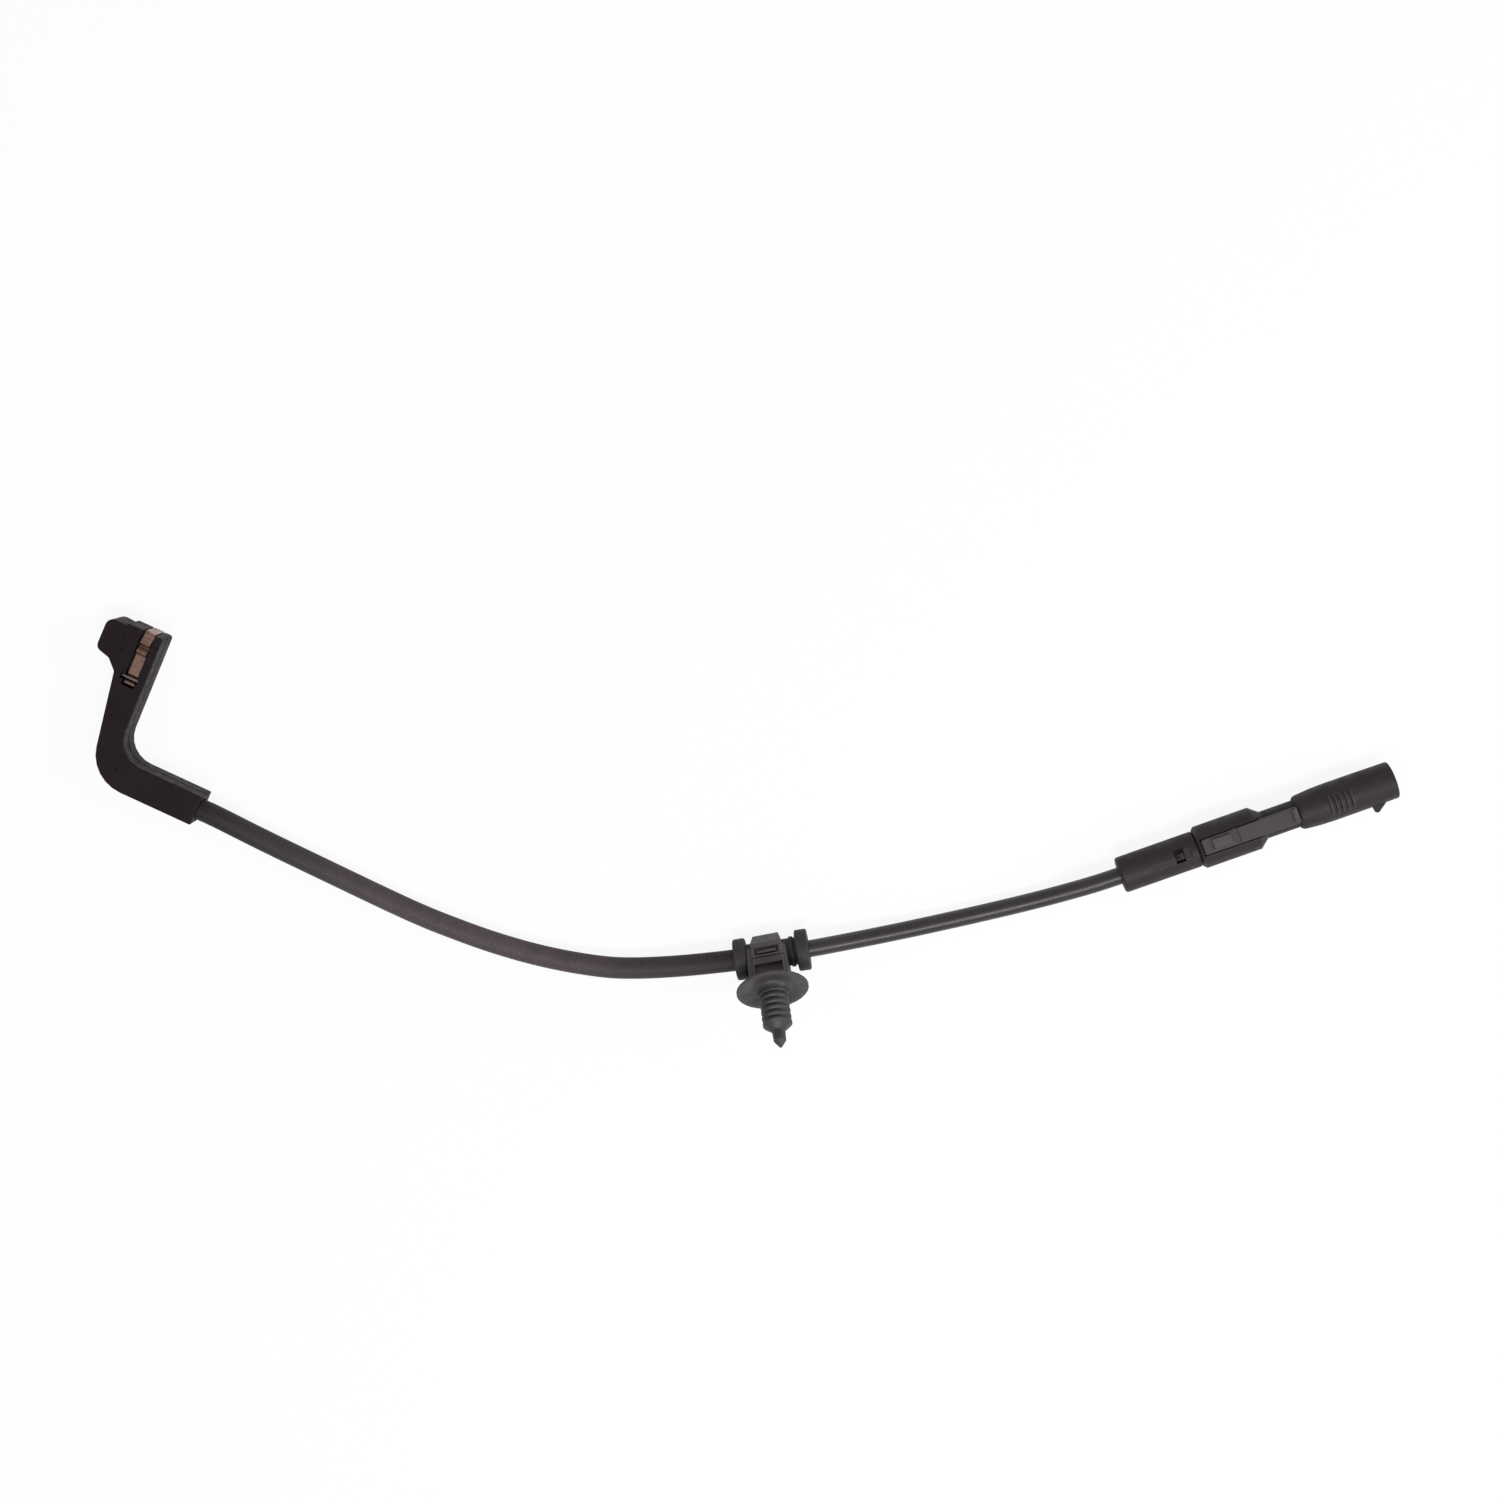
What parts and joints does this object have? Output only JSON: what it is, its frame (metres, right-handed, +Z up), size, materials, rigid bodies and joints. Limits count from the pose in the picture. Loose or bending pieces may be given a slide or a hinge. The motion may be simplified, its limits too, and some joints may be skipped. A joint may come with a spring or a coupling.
{
  "type": "brake pad wear sensor",
  "caption": "Brake pad wear sensor: L-shaped sensing head with a leaf spring, sleeved lead with a push-in clip, and a round plug connector.",
  "frame": {"origin": "under the middle of the sensor without its lead, on the surface it lies on", "axes": "+X along the plug towards its mouth, +Z up from the surface, +Y towards the sensing head's side"},
  "size_m": [0.3741, 0.1927, 0.0294],
  "materials": {
    "head_plastic": "satin",
    "spring_bronze": "dull bronze strip",
    "pin_steel": "satin",
    "core_wire": "insulated wire",
    "cable_jacket": "smooth",
    "sleeve_braid": "woven",
    "seal_rubber": "matte",
    "clip_plastic": "satin",
    "connector_plastic": "satin",
    "lock_plastic": "satin",
    "contact_brass": "tinned"
  },
  "bodies": {
    "root": {"sensor_head_housing": "head_plastic", "retaining_spring": "spring_bronze", "spring_anchor_pin": "pin_steel", "wear_loop_wire": "core_wire", "crimp_splice_a": "pin_steel", "crimp_splice_b": "pin_steel", "head_core_wire_a": "core_wire", "head_core_wire_b": "core_wire", "cable": "cable_jacket", "braided_sleeve": "sleeve_braid", "cable_grommet": "seal_rubber", "mounting_clip": "clip_plastic", "connector_rear_cap": "connector_plastic", "connector_cable_seal": "seal_rubber", "connector_body": "connector_plastic", "connector_lock_bar": "lock_plastic", "shell_seal_ring": "seal_rubber", "plug_shell": "connector_plastic", "contact_carrier": "lock_plastic", "contact_pin_a": "contact_brass", "contact_pin_b": "contact_brass", "core_wire_a": "core_wire", "core_wire_b": "core_wire"}
  },
  "joints": []
}
